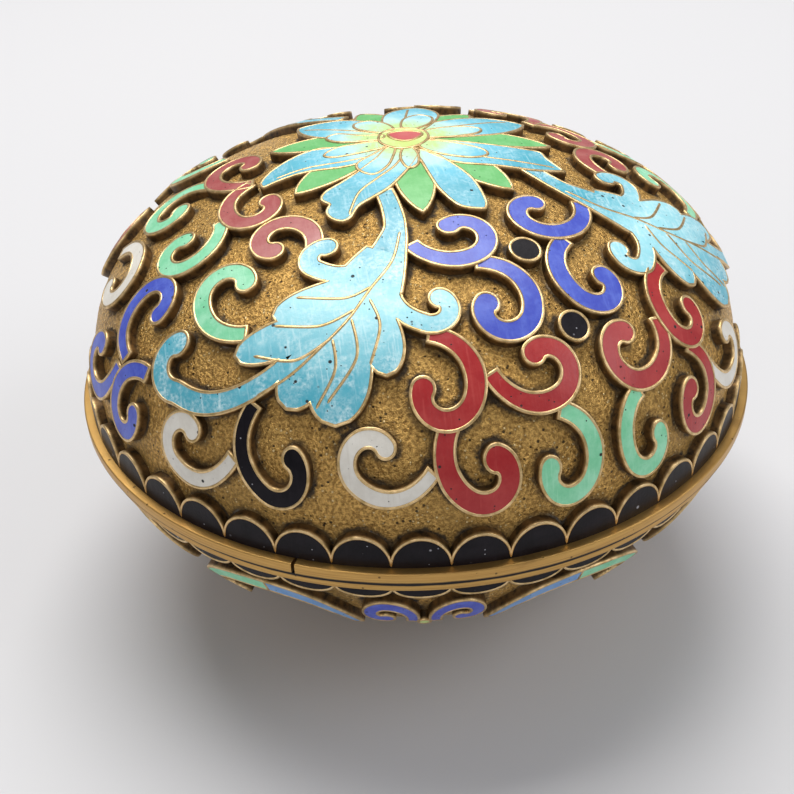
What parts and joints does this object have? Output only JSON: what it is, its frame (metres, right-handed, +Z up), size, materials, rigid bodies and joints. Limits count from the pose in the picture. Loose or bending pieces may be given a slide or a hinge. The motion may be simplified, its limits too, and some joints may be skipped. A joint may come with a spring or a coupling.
{
  "type": "lidded trinket box",
  "caption": "Round domed brass box with a lift-off lid, covered in raised cloisonne enamel scrolls, leaves and a flower; it holds small things such as rings or pills.",
  "frame": {"origin": "centre of the underside, on the surface the box stands on", "axes": "+Z up through the middle of the lid; -Y towards the side with the two leaves"},
  "size_m": [0.0658, 0.066, 0.0439],
  "materials": {
    "gilt_ground": "stippled gilt ground, dark patina in the corners, polished enamel cells between gilt wires",
    "brass_band": "satin, brushed lengthwise"
  },
  "bodies": {
    "root": {"bowl": "gilt_ground", "bowl_rim_band": "brass_band", "lid": "gilt_ground", "lid_rim_band": "brass_band"}
  },
  "joints": []
}
